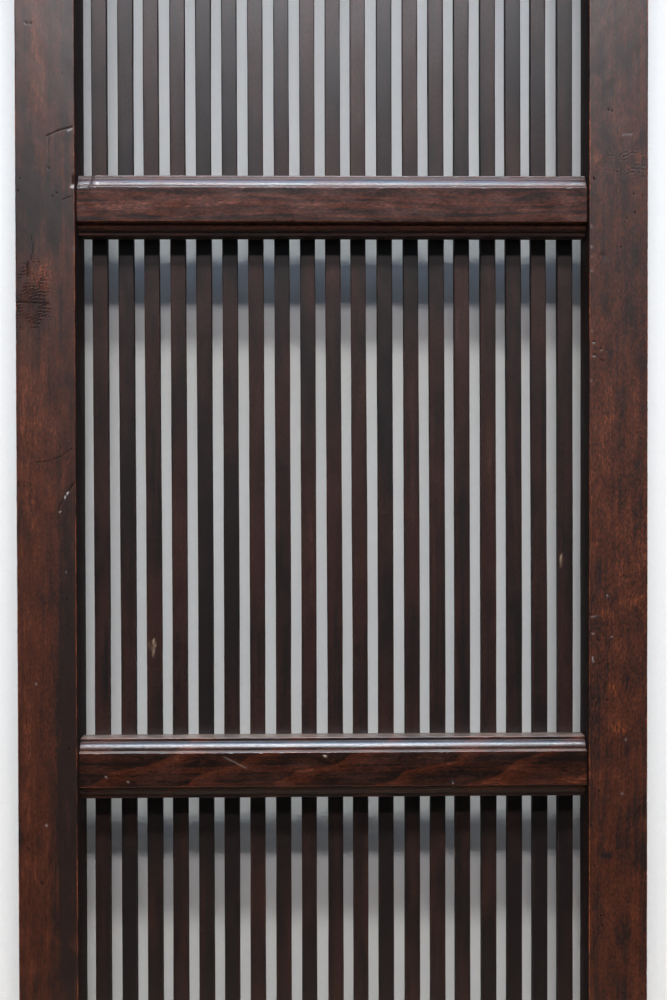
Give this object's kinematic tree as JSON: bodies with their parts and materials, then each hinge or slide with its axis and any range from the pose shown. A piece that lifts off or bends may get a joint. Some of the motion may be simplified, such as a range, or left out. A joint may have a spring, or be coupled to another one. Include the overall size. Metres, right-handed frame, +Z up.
{
  "type": "lattice door",
  "caption": "Tall narrow wooden door leaf with square stiles, moulded cross rails and an open lattice of upright slats behind them.",
  "frame": {"origin": "on the outer edge face of the left stile, the edge the door is hung by, at half the door's depth and half its height", "axes": "+X across the door from the hanging edge to the closing edge, +Y towards the back, where the slats are, so the moulded front faces -Y, +Z up along the stiles"},
  "size_m": [0.606, 0.057, 1.757],
  "materials": {
    "stile_wood": "dark red-brown stain under worn satin varnish, with dents and rubbed edges",
    "rail_wood": "dark red-brown stain under glossier varnish, streaked along the grain",
    "slat_wood": "near-black brown stain under satin varnish"
  },
  "bodies": {
    "root": {"stile_left": "stile_wood", "stile_right": "stile_wood", "rail_top": "rail_wood", "rail_bottom": "rail_wood", "mid_rail_upper": "rail_wood", "mid_rail_lower": "rail_wood", "slat_01": "slat_wood", "slat_02": "slat_wood", "slat_03": "slat_wood", "slat_04": "slat_wood", "slat_05": "slat_wood", "slat_06": "slat_wood", "slat_07": "slat_wood", "slat_08": "slat_wood", "slat_09": "slat_wood", "slat_10": "slat_wood", "slat_11": "slat_wood", "slat_12": "slat_wood", "slat_13": "slat_wood", "slat_14": "slat_wood", "slat_15": "slat_wood", "slat_16": "slat_wood", "slat_17": "slat_wood", "slat_18": "slat_wood", "slat_19": "slat_wood"}
  },
  "joints": []
}
